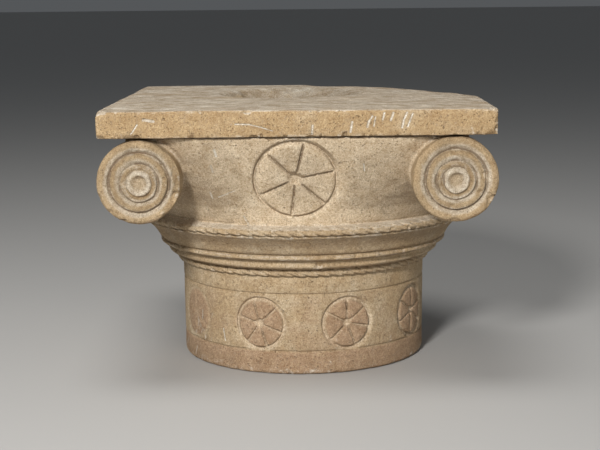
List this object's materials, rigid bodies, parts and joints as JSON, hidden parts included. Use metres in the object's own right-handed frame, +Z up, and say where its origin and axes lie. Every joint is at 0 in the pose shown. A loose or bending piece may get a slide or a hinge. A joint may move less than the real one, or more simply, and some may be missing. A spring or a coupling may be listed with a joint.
{
  "type": "ionic capital",
  "caption": "Carved limestone column capital with a square slab, ringed volutes, a round drum with rosettes, roll mouldings and a round neck.",
  "frame": {"origin": "centre of the bounding box at the height of the underside, where the neck stands on its column", "axes": "+Z up; the front, with the whole pair of volutes, faces -Y; +X to the right of someone who looks at the front"},
  "size_m": [0.505, 0.522, 0.363],
  "materials": {
    "limestone": "matte, weathered, with an ochre patina"
  },
  "bodies": {
    "root": {"capital": "limestone"}
  },
  "joints": []
}
